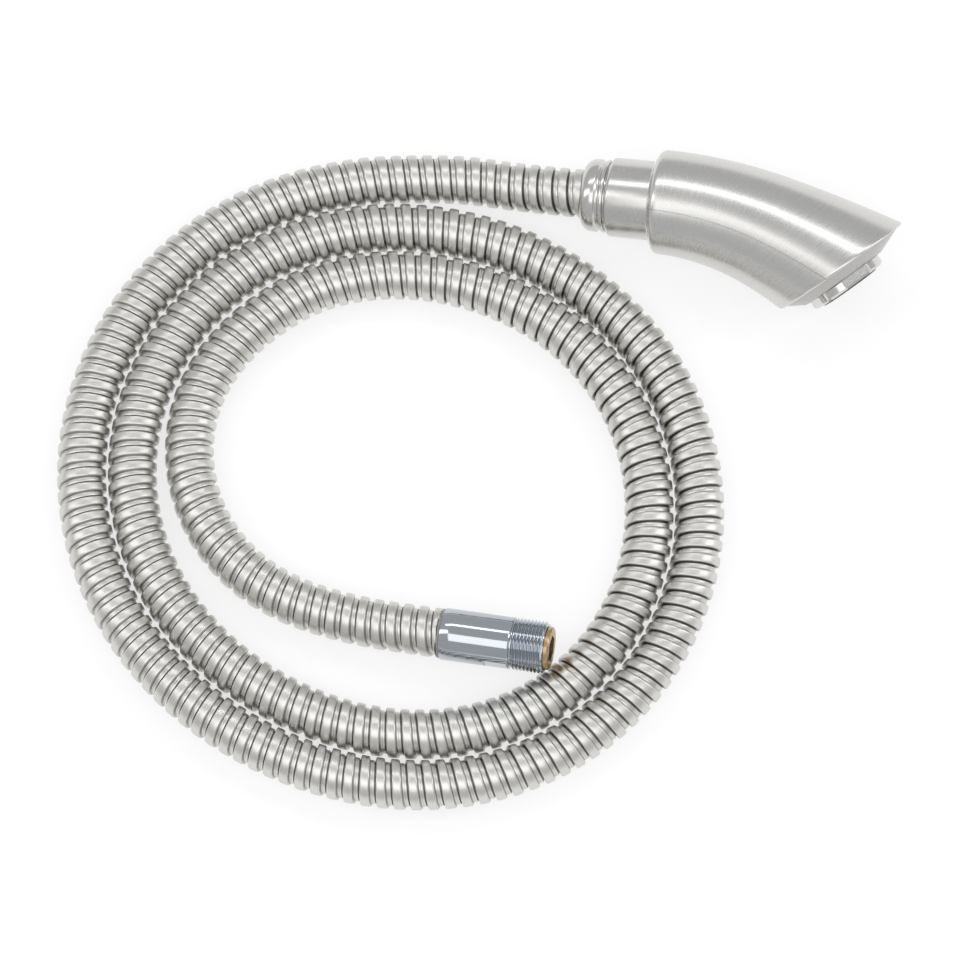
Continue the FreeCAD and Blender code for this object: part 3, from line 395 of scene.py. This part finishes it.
def wound_tube(name, around=48):
    """The hose's mesh: the outside follows the helix, the inside is a plain bore."""
    pitch = RIB_PITCH * MM
    per_turn = len(RIB_FORM)
    turns = int(math.ceil(HOSE_LENGTH / pitch)) + 3
    form_u = np.array([u for u, _, _ in RIB_FORM])
    form_r = np.array([r for _, r, _ in RIB_FORM]) * MM
    form_shade = np.array([d for _, _, d in RIB_FORM])
    rows = turns * per_turn
    share = (np.arange(turns)[:, None] + form_u[None, :]).ravel()
    turn_part = np.arange(around) / around
    distance = pitch * (share[:, None] + turn_part[None, :] - 1.0)
    reach = np.broadcast_to(np.tile(form_r, turns)[:, None], distance.shape).copy()
    # Painted shade for each corner: dark in the recesses, none on the beads
    painted_shade = np.broadcast_to(np.tile(form_shade, turns)[:, None], distance.shape).copy()
    outside = (distance < 0) | (distance > HOSE_LENGTH)
    reach[outside] = STRIP_END * MM
    painted_shade[outside] = END_SHADE
    distance = np.clip(distance, 0, HOSE_LENGTH)
    inner_rows = int(HOSE_LENGTH / (BORE_STEP * MM))
    inner_distance = np.linspace(0, HOSE_LENGTH, inner_rows)[:, None] + np.zeros(around)[None, :]
    all_distance = np.concatenate([distance, inner_distance])
    all_reach = np.concatenate([reach, np.full(inner_distance.shape, BORE_RADIUS * MM)])
    all_shade = np.concatenate([painted_shade, np.full(inner_distance.shape, BORE_SHADE)])
    centre, up, side = hose_frames(all_distance)
    turn = (2 * math.pi * turn_part)[None, :, None]
    points = centre + all_reach[..., None] * (np.cos(turn) * up + np.sin(turn) * side)
    faces = []
    last = rows - 1
    turn_on = per_turn * around
    for i in range(rows - 1):
        here, ahead = i * around, (i + 1) * around
        for j in range(around - 1):
            faces.append((here + j, here + j + 1, ahead + j + 1, ahead + j))
        if i + 1 + per_turn <= last:
            faces.append((here + around - 1, here + turn_on, ahead + turn_on, ahead + around - 1))
    for i in range(rows, rows + inner_rows - 1):
        here, ahead = i * around, (i + 1) * around
        for j in range(around):
            m = (j + 1) % around
            faces.append((here + j, ahead + j, ahead + m, here + m))
    first_inner, last_inner = rows * around, (rows + inner_rows - 1) * around
    for j in range(around):
        m = (j + 1) % around
        faces.append((first_inner + j, first_inner + m, m, j))
        faces.append((last * around + j, last * around + m, last_inner + m, last_inner + j))
    mesh = bpy.data.meshes.new(name)
    mesh.from_pydata(points.reshape(-1, 3).tolist(), [], faces)
    # The painted shade goes to the hose material as a point attribute
    layer = mesh.attributes.new("painted_shade", "FLOAT", "POINT")
    layer.data.foreach_set("value", all_shade.ravel().astype(np.float32))
    along = np.concatenate([share * pitch, np.zeros(inner_rows)])
    corner = np.array([i for face in faces for i in face]).reshape(-1, 4)
    row, column = corner // around, corner % around
    wrapped = (column == 0) & (column.max(axis=1) == around - 1)[:, None]
    column = np.where(wrapped, around, column)
    u = along[row] - np.where(wrapped & (row < rows), pitch, 0.0)
    v = column / around * 2 * math.pi * HOSE_RADIUS * MM + np.floor(along[row] / pitch) * GRAIN_SHIFT * MM
    uv = np.stack([u, v], axis=-1).astype(np.float32)
    mesh.uv_layers.new(name="grain").data.foreach_set("uv", uv.ravel())
    weld(mesh, 2e-7)
    return mesh


hose = made("metal_hose", wound_tube("metal_hose"), Matrix.Identity(4), hose_steel, "hose",
            ("hose_lead", "hose_coil", "hose_tail"), sharp=60.0)


# The rubber hose inside it
LINER_RADIUS, LINER_BORE, LINER_INSET = 7.45, 5.5, 0.5
LINER_STEP, LINER_GRAIN = 6.0, 1.5


def plain_tube(name, outer, inner, around=32):
    """A smooth tube wall along the hose's line."""
    rows = int(HOSE_LENGTH / (LINER_STEP * MM))
    distance = np.linspace(LINER_INSET * MM, HOSE_LENGTH - LINER_INSET * MM, rows)
    distance = np.concatenate([distance, distance[::-1]])
    reach = np.concatenate([np.full(rows, outer), np.full(rows, inner)]) * MM
    centre, up, side = hose_frames(distance)
    turn = np.linspace(0, 2 * math.pi, around, endpoint=False)[None, :, None]
    ring = np.cos(turn) * up[:, None] + np.sin(turn) * side[:, None]
    points = centre[:, None] + reach[:, None, None] * ring
    uvs = [[(i * LINER_STEP * MM, j * LINER_GRAIN * MM) for j in range(around + 1)]
           for i in range(2 * rows + 1)]
    return grid_mesh(name, points / MM, uvs)


liner = made("rubber_liner", plain_tube("rubber_liner", LINER_RADIUS, LINER_BORE), Matrix.Identity(4),
             rubber, "hose", ("inner_hose",))

# Collar, sleeve and washer on the neck axis
COLLAR_END = -(SLEEVE_LENGTH + SWIVEL_GAP)
COLLAR_BORE, STEP_BORE, STEP_RADIUS, STEP_LENGTH = 9.1, 11.4, 17.5, 0.5
# Radii by distance back from the collar's front, then by distance from its hose end
COLLAR_FRONT_FORM = [
    (0.0, 18.1), (0.15, 18.55), (0.6, 18.83), (1.2, 18.9), (1.8, 18.78), (2.3, 18.4), (2.6, 17.95),
    (3.4, 17.7), (4.1, 17.85), (4.5, 18.4), (4.9, 18.8), (5.5, 18.9),
]
COLLAR_BACK_FORM = [(5.2, 18.85), (3.4, 18.6), (1.8, 17.8), (0.7, 16.7), (0.15, 15.8), (0.0, 15.2)]
collar_profile = [
    (COLLAR_FACE, COLLAR_BORE), (COLLAR_END, COLLAR_BORE), (COLLAR_END, STEP_BORE),
    (COLLAR_END + STEP_LENGTH, STEP_BORE), (COLLAR_END + STEP_LENGTH, STEP_RADIUS),
    (COLLAR_END, STEP_RADIUS),
]
collar_profile += [(COLLAR_END - back, radius) for back, radius in COLLAR_FRONT_FORM]
collar_profile += [(COLLAR_FACE + ahead, radius) for ahead, radius in COLLAR_BACK_FORM]
made("collar", lathe("collar", collar_profile), head_place, collar_steel, "hose",
     ("swivel_collar",), sharp=50)

SLEEVE_RADIUS, SLEEVE_BORE, SLEEVE_HOLE = 20.5, 19.0, 11.4
SLEEVE_END, SLEEVE_WALL, SLEEVE_ROUND, ROUND_STEPS = 9.0, 1.5, 2.4, 8
sleeve_profile = [
    (-SLEEVE_LENGTH, SLEEVE_HOLE), (-SLEEVE_LENGTH + SLEEVE_WALL, SLEEVE_HOLE),
    (-SLEEVE_LENGTH + SLEEVE_WALL, SLEEVE_BORE), (SLEEVE_END, SLEEVE_BORE), (SLEEVE_END, SLEEVE_RADIUS),
]
for i in range(ROUND_STEPS + 1):
    angle = math.radians(90 - 90 * i / ROUND_STEPS)
    sleeve_profile.append((-SLEEVE_LENGTH + SLEEVE_ROUND * (1 - math.cos(angle)),
                           SLEEVE_RADIUS - SLEEVE_ROUND * (1 - math.sin(angle))))
made("sleeve", lathe("sleeve", sleeve_profile), head_place, sleeve_steel, "spray_head",
     ("neck_sleeve",))

NECK_HOLE = 20.52
WASHER_BACK, WASHER_FRONT, WASHER_RADIUS, WASHER_EDGE = -1.15, -0.05, 23.3, 0.2
washer_profile = [
    (WASHER_BACK, NECK_HOLE), (WASHER_FRONT, NECK_HOLE), (WASHER_FRONT, WASHER_RADIUS - WASHER_EDGE),
    (WASHER_FRONT - WASHER_EDGE, WASHER_RADIUS), (WASHER_BACK + WASHER_EDGE, WASHER_RADIUS),
    (WASHER_BACK, WASHER_RADIUS - WASHER_EDGE),
]
made("washer", lathe("washer", washer_profile), head_place, nylon, "spray_head",
     ("dock_washer",))

# The shell: two pressed halves about a bent spine, cut on a slant
FIRST_BEND, FIRST_LENGTH, SECOND_BEND = 182.0, 62.5, 370.0
MOUTH_RADIUS, SHELL_WALL, SEAM_GAP = 34.5, 1.3, 0.14
LIP_LENGTH, LIP_DEPTH = 1.7, 1.1
SHELL_GRAIN_STEP, SHELL_GRAIN_RADIUS = 1.9, 29.0


def spine(distance):
    """Point, direction across and slope of the spine, in the head's frame."""
    length = min(max(distance, 0.0), FIRST_LENGTH)
    angle = length / FIRST_BEND
    x, z = FIRST_BEND * math.sin(angle), -FIRST_BEND * (1 - math.cos(angle))
    beyond = distance - length
    if beyond > 0:
        more = beyond / SECOND_BEND
        x += SECOND_BEND * (math.sin(angle + more) - math.sin(angle))
        z -= SECOND_BEND * (math.cos(angle) - math.cos(angle + more))
        angle += more
    elif beyond < 0:
        x += beyond
    return Vector((x, 0, z)), Vector((math.sin(angle), 0, math.cos(angle))), angle


def shell_radius(distance):
    share = distance / MOUTH.x
    return NECK_RADIUS + (MOUTH_RADIUS - NECK_RADIUS) * share * abs(share)


def shell_point(distance, radius, angle):
    centre, across, _ = spine(distance)
    return centre + Vector((0, 1, 0)) * (radius * math.cos(angle)) + across * (radius * math.sin(angle))


mouth_normal = Vector((math.cos(MOUTH_ANGLE), 0, -math.sin(MOUTH_ANGLE)))


def mouth_reach(inset, angle):
    """Distance along the spine at which a line of the wall meets the mouth's plane."""
    low, high = 10.0, 160.0
    for _ in range(40):
        middle = (low + high) / 2
        point = shell_point(middle, shell_radius(middle) - inset, angle)
        if (point - MOUTH).dot(mouth_normal) < 0:
            low = middle
        else:
            high = middle
    return low


def shell_half(name, start, end, columns=96, rows=60):
    """One half of the shell between two angles around the spine, as a closed sheet."""
    outer, inner = [], []
    for j in range(columns + 1):
        angle = start + (end - start) * j / columns
        out_line = [shell_point(0.0, NECK_HOLE, angle), shell_point(0.0, NECK_RADIUS - RIM_ROUND, angle)]
        for i in range(1, 8):
            turn = math.radians(90 * i / 8)
            out_line.append(shell_point(RIM_ROUND * (1 - math.cos(turn)),
                                        NECK_RADIUS - RIM_ROUND + RIM_ROUND * math.sin(turn), angle))
        far = mouth_reach(0.0, angle) - LIP_LENGTH
        for i in range(rows + 1):
            distance = RIM_ROUND + (far - RIM_ROUND) * i / rows
            out_line.append(shell_point(distance, shell_radius(distance), angle))
        for i in range(1, 7):
            turn = math.radians(90 * i / 6)
            inset = LIP_DEPTH * (1 - math.cos(turn))
            distance = mouth_reach(inset, angle) - LIP_LENGTH * (1 - math.sin(turn))
            out_line.append(shell_point(distance, shell_radius(distance) - inset, angle))
        in_line = [shell_point(SHELL_WALL, NECK_HOLE + (NECK_RADIUS - SHELL_WALL - NECK_HOLE) * i / 8, angle)
                   for i in range(9)]
        far = mouth_reach(SHELL_WALL, angle)
        for i in range(rows + 7):
            distance = SHELL_WALL + 0.3 + (far - SHELL_WALL - 0.3) * i / (rows + 6)
            in_line.append(shell_point(distance, shell_radius(distance) - SHELL_WALL, angle))
        outer.append(out_line)
        inner.append(in_line)
    end_row = len(outer[0]) - 1
    verts, faces, uvs = [], [], []
    index = {}
    for side, lines in (("out", outer), ("in", inner)):
        for j, line in enumerate(lines):
            for i, point in enumerate(line):
                index[side, j, i] = len(verts)
                verts.append(point * MM)

    def quad(*corners):
        faces.append([index[c] for c in corners])
        for side, j, i in corners:
            angle = start + (end - start) * j / columns
            uvs.append((i * SHELL_GRAIN_STEP * MM, angle * SHELL_GRAIN_RADIUS * MM))

    for j in range(columns):
        for i in range(end_row):
            quad(("out", j, i), ("out", j, i + 1), ("out", j + 1, i + 1), ("out", j + 1, i))
            quad(("in", j, i), ("in", j + 1, i), ("in", j + 1, i + 1), ("in", j, i + 1))
        quad(("out", j, 0), ("out", j + 1, 0), ("in", j + 1, 0), ("in", j, 0))
        quad(("out", j, end_row), ("in", j, end_row), ("in", j + 1, end_row), ("out", j + 1, end_row))
    for i in range(end_row):
        quad(("out", 0, i), ("in", 0, i), ("in", 0, i + 1), ("out", 0, i + 1))
        quad(("out", columns, i), ("out", columns, i + 1), ("in", columns, i + 1), ("in", columns, i))
    mesh = bpy.data.meshes.new(name)
    mesh.from_pydata(verts, [], faces)
    mesh.uv_layers.new(name="grain").data.foreach_set("uv", np.array(uvs, np.float32).ravel())
    return mesh


seam = SEAM_GAP / 30.0
shell_top = made("shell_top", shell_half("shell_top", 0.0, math.pi), head_place, head_steel, "spray_head",
                 ("shell_upper",), sharp=30)
shell_under = made("shell_under", shell_half("shell_under", math.pi + seam, 2 * math.pi - seam), head_place,
                   head_steel, "spray_head", ("shell_lower",), sharp=30)
for half in (shell_top, shell_under):
    soft_edges(half, 0.08)

# End cap: a shallow oval cone
CAP_HEIGHT, CAP_RECESS, CAP_WALL, SPIGOT = 5.4, 0.8, 1.2, 18.02
CAP_INSET, INSET_STRETCH, CAP_GAP, CAP_RIM, SEAT_RADIUS = 1.8, 1.3, 0.2, 0.9, 24.0


def cap_mesh(name, around=160):
    _, _, slope = spine(MOUTH.x)
    half_long = MOUTH_RADIUS / math.cos(MOUTH_ANGLE - slope) - CAP_INSET * INSET_STRETCH - CAP_GAP
    half_wide = MOUTH_RADIUS - CAP_INSET - CAP_GAP
    cone_start = CAP_RIM - CAP_RECESS
    rows = [(-CAP_RECESS, 1.0, 0.0), (-CAP_RECESS + 0.5, 1.0, 0.0), (cone_start, 0.985, 0.0)]
    rows += [(cone_start + (CAP_HEIGHT - cone_start) * t / 6, 1.0, 0.015 + t / 6 * 0.985)
             for t in range(1, 7)]
    rows += [(CAP_HEIGHT, "hole", 0), (CAP_HEIGHT - CAP_WALL, "hole", 0)]
    rows += [(CAP_HEIGHT - CAP_WALL - (CAP_HEIGHT - 0.4) * t / 5, 1.0, 1 - t / 5 * 0.97)
             for t in range(5)]
    rows += [(-CAP_RECESS, 0.965, 0.0)]
    points = np.zeros((len(rows), around, 3))
    for i, (x, scale, share) in enumerate(rows):
        for j in range(around):
            angle = 2 * math.pi * j / around
            wide = np.array([half_wide * math.cos(angle), half_long * math.sin(angle)])
            seat = np.array([SEAT_RADIUS * math.cos(angle), SEAT_RADIUS * math.sin(angle) - NOZZLE_OFFSET])
            if scale == "hole":
                y, z = SPIGOT * math.cos(angle), SPIGOT * math.sin(angle) - NOZZLE_OFFSET
            else:
                y, z = (wide * scale) * (1 - share) + seat * share
            points[i, j] = (x, y, z)
    uvs = [[(i * 1.5 * MM, j * MM) for j in range(around + 1)] for i in range(len(rows) + 1)]
    return grid_mesh(name, points, uvs)


made("cap", cap_mesh("cap"), mouth_place, shaded_cap_steel, "spray_head", ("end_cap",), sharp=40)

# Nozzle nut: round with four flats, a bevelled front and two notches
NUT_RADIUS, NUT_FLATS, NUT_THICK, NUT_BEVEL, NUT_LIP, NUT_EDGE = 21.2, 39.0, 5.2, 1.2, 1.5, 0.3
NUT_BORE, NUT_MOUTH, NUT_INSIDE, NUT_GAP, FLAT_SLOPE = 18.05, 16.7, 19.0, 0.05, 0.6
NUT_BACK = CAP_HEIGHT + NUT_GAP
NUT_FRONT = NUT_BACK + NUT_THICK
NUT_TURN, NOTCH_TURN = math.radians(60.3), math.radians(24.8)
NOTCH_WIDTH, NOTCH_DEPTH = 3.4, 1.4


def nut_shape(x, radius, angle):
    if radius < NUT_INSIDE:
        return radius
    quarter = math.pi / 2
    corner = (angle - NUT_TURN + quarter / 2) % quarter - quarter / 2
    bevel = max(0.0, x - (NUT_FRONT - NUT_BEVEL))
    reach = min(radius, (NUT_FLATS / 2 - bevel * FLAT_SLOPE) / math.cos(corner))
    across = abs(NUT_RADIUS * math.sin(angle - NOTCH_TURN))
    if across < NOTCH_WIDTH / 2:
        reach = min(reach, NUT_RADIUS - NOTCH_DEPTH)
    return reach


nut_profile = [
    (NUT_BACK, NUT_BORE), (NUT_FRONT - NUT_LIP, NUT_BORE), (NUT_FRONT - NUT_LIP, NUT_MOUTH),
    (NUT_FRONT, NUT_MOUTH), (NUT_FRONT, NUT_RADIUS - NUT_BEVEL), (NUT_FRONT - NUT_BEVEL, NUT_RADIUS),
    (NUT_BACK + NUT_EDGE, NUT_RADIUS), (NUT_BACK, NUT_RADIUS - NUT_EDGE),
]
made("nut", lathe("nut", nut_profile, 720, nut_shape), nozzle_place, nozzle_steel, "spray_head",
     ("nozzle_nut",), sharp=22)

# Inlet connector: round barrel, two flats and a helical thread
BODY_START, BARREL, FLATS, EDGE, THREAD, PITCH = 1.05, 23.0, 12.0, 1.2, 17.0, 1.814
FLATS_START = BODY_START + BARREL
FLATS_END = FLATS_START + FLATS
THREAD_START = FLATS_END + EDGE
THREAD_END = THREAD_START + THREAD
CONNECTOR_RADIUS, THREAD_DEPTH, BORE, BORE_STEP_UP = 13.22, 1.16, 9.8, 1.0
FLAT_DEPTH, INSIDE_RADIUS = 0.95, 12.5
THREAD_ROOT = CONNECTOR_RADIUS - THREAD_DEPTH
CONNECTOR_GRAIN_STEP, CONNECTOR_GRAIN_TURN = 0.8, 83.0


def connector_shape(x, radius, angle):
    if radius < INSIDE_RADIUS or not FLATS_START < x < FLATS_END:
        return radius
    return min(radius, (CONNECTOR_RADIUS - FLAT_DEPTH) / max(abs(math.cos(angle)), 1e-6))


def connector_mesh(name, around=192):
    """The connector's whole wall as one closed mesh; the thread follows its helix."""
    before = [
        (THREAD_END, BORE), (BODY_START + 4, BORE), (BODY_START + 4, BORE + BORE_STEP_UP),
        (BODY_START, BORE + BORE_STEP_UP), (BODY_START, 12.75), (BODY_START + 0.15, 13.05),
        (BODY_START + 0.5, CONNECTOR_RADIUS), (BODY_START + 6, CONNECTOR_RADIUS),
        (FLATS_START - 0.01, CONNECTOR_RADIUS), (FLATS_START + 0.01, CONNECTOR_RADIUS),
        (FLATS_END - 0.01, CONNECTOR_RADIUS), (FLATS_END + 0.01, CONNECTOR_RADIUS),
        (FLATS_END + 0.35, CONNECTOR_RADIUS), (FLATS_END + 0.9, 12.9), (THREAD_START, 12.1),
    ]
    form = [(0.0, 0.0), (0.10, 0.08), (0.44, 0.93), (0.50, 1.0), (0.56, 0.93), (0.90, 0.08)]
    turns = int(THREAD / PITCH) + 3
    rows = [[(x, connector_shape(x, r, 2 * math.pi * j / around)) for j in range(around)] for x, r in before]
    for turn in range(turns):
        for share, height in form:
            row = []
            for j in range(around):
                x = THREAD_START + PITCH * (turn + share + j / around - 1)
                run_in = (x - THREAD_START) / (PITCH * 0.7)
                run_out = (THREAD_END - x) / (PITCH * 0.6) + 0.05
                fade = max(0.0, min(1.0, run_in, run_out))
                reach = CONNECTOR_RADIUS - THREAD_DEPTH * (1 - height * fade)
                if x <= THREAD_START:
                    x, reach = THREAD_START, THREAD_ROOT
                if x >= THREAD_END:
                    x, reach = THREAD_END, THREAD_ROOT
                row.append((x, reach))
            rows.append(row)
    rows.append([(THREAD_END, THREAD_ROOT)] * around)
    first_thread = len(before)
    verts = []
    for row in rows:
        for j, (x, reach) in enumerate(row):
            angle = 2 * math.pi * j / around
            verts.append((x * MM, reach * math.cos(angle) * MM, reach * math.sin(angle) * MM))
    faces, uvs = [], []
    count = len(rows)
    per_turn = len(form)

    def grain_at(row, column):
        return row * CONNECTOR_GRAIN_STEP * MM, column / around * CONNECTOR_GRAIN_TURN * MM

    def quad(a, b, c, d):
        faces.append([i * around + j % around for i, j in (a, b, c, d)])
        uvs.extend(grain_at(i, j) for i, j in (a, b, c, d))

    for i in range(count - 1):
        k = i + 1
        threaded = first_thread <= i < count - 2
        for j in range(around - 1 if threaded else around):
            quad((i, j), (i, j + 1), (k, j + 1), (k, j))
        if threaded and k + per_turn < count:
            far, turn_on = around - 1, per_turn * around
            here, ahead = i * around, k * around
            faces.append([here + far, here + turn_on, ahead + turn_on, ahead + far])
            uvs.extend(grain_at(*c) for c in ((i, far), (i, around), (k, around), (k, far)))
    for j in range(around):
        quad((count - 1, j), (count - 1, j + 1), (0, j + 1), (0, j))
    mesh = bpy.data.meshes.new(name)
    mesh.from_pydata(verts, [], faces)
    mesh.uv_layers.new(name="grain").data.foreach_set("uv", np.array(uvs, np.float32).ravel())
    weld(mesh, 1e-6)
    return mesh


connector = made("connector", connector_mesh("connector"), connector_place, chrome, "connector",
                 ("inlet_connector",), sharp=28)

# Floor: a plain pale sheet that also shows white to the camera
PAPER_GLOW, PAPER_STRENGTH = 0.62, 1.12


def floor_material():
    nodes = Nodes("floor_paper")
    grain = nodes.noise((60, 60, 60), "Object", detail=2.0)
    tone = nodes.span(grain, 0.0, 1.0)
    nodes.set(Base_Color=nodes.blend(tone, rgba(0.90, 0.90, 0.90), rgba(0.93, 0.93, 0.93)), Roughness=0.9)
    path = nodes.add("ShaderNodeLightPath")
    seen = nodes.add("ShaderNodeMath", {0: path.outputs["Is Camera Ray"], 1: path.outputs["Is Glossy Ray"]},
                     operation="MAXIMUM")
    seen = nodes.add("ShaderNodeMath", {0: seen.outputs[0], 1: path.outputs["Is Transmission Ray"]},
                     operation="MAXIMUM")
    share = nodes.add("ShaderNodeMath", {0: seen.outputs[0], 1: PAPER_GLOW}, operation="MULTIPLY")
    white = nodes.add("ShaderNodeEmission", {"Color": rgba(1, 1, 1), "Strength": PAPER_STRENGTH})
    mixed = nodes.add("ShaderNodeMixShader", {
        0: share.outputs[0], 1: nodes.shader.outputs[0], 2: white.outputs[0]})
    output = nodes.tree.nodes["Material Output"]
    nodes.tree.links.new(mixed.outputs[0], output.inputs["Surface"])
    return nodes.material


floor_mesh = bpy.data.meshes.new("floor")
FLOOR_HALF = 3
floor_corners = [(x * FLOOR_HALF, y * FLOOR_HALF, 0) for x, y in ((-1, -1), (1, -1), (1, 1), (-1, 1))]
floor_mesh.from_pydata(floor_corners, [], [(0, 1, 2, 3)])
floor_mesh.materials.append(floor_material())
floor = bpy.data.objects.new("floor", floor_mesh)
scene.collection.objects.link(floor)

# Soft studio light
world = bpy.data.worlds.new("studio")
world.use_nodes = True
sky = world.node_tree.nodes["Background"].inputs
sky["Color"].default_value = rgba(0.98, 0.99, 1.0)
sky["Strength"].default_value = 0.58
scene.world = world
LIT_SPOT = Vector((-0.125, -0.12, 0.0))


def softbox(name, place, wide, high, power):
    """A rectangular lamp, in metres and watts, that faces the middle of the piece."""
    data = bpy.data.lights.new(name, "AREA")
    data.shape = "RECTANGLE"
    data.size = wide
    data.size_y = high
    data.energy = power
    lamp = bpy.data.objects.new(name, data)
    lamp.location = place
    lamp.rotation_euler = (LIT_SPOT - Vector(place)).to_track_quat("-Z", "Y").to_euler()
    scene.collection.objects.link(lamp)


softbox("rear_light", (-0.1, 0.72, 1.36), 1.8, 0.2, 3.6)
softbox("front_light", (-0.1, -1.1, 2.2), 2.6, 1.4, 14.5)
softbox("left_light", (-1.5, -0.1, 1.3), 0.5, 1.4, 4)
softbox("right_light", (1.3, 0.1, 0.9), 0.4, 1.4, 4)

# Nodes kept from the solid model
KEPT = {
    "swivel_spindle": brass, "outlet_ferrule": spring_steel, "swivel_washer": nylon,
    "swivel_retaining_ring": spring_steel, "swivel_o_rings": rubber, "swivel_housing": brass,
    "waterway_tube": brass, "nozzle_adapter": brass, "flow_restrictor": dark_plastic,
    "strainer_screen": spring_steel, "nozzle_gasket": rubber, "spray_insert": dark_plastic,
    "inlet_insert": brass, "inlet_ferrule": spring_steel, "inlet_bush": grey_plastic,
    "inlet_retaining_ring": spring_steel, "inlet_o_ring": rubber,
}
for name, material in KEPT.items():
    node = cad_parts[name]
    node.data.materials.clear()
    node.data.materials.append(material.material)

scene.view_settings.view_transform = "Standard"
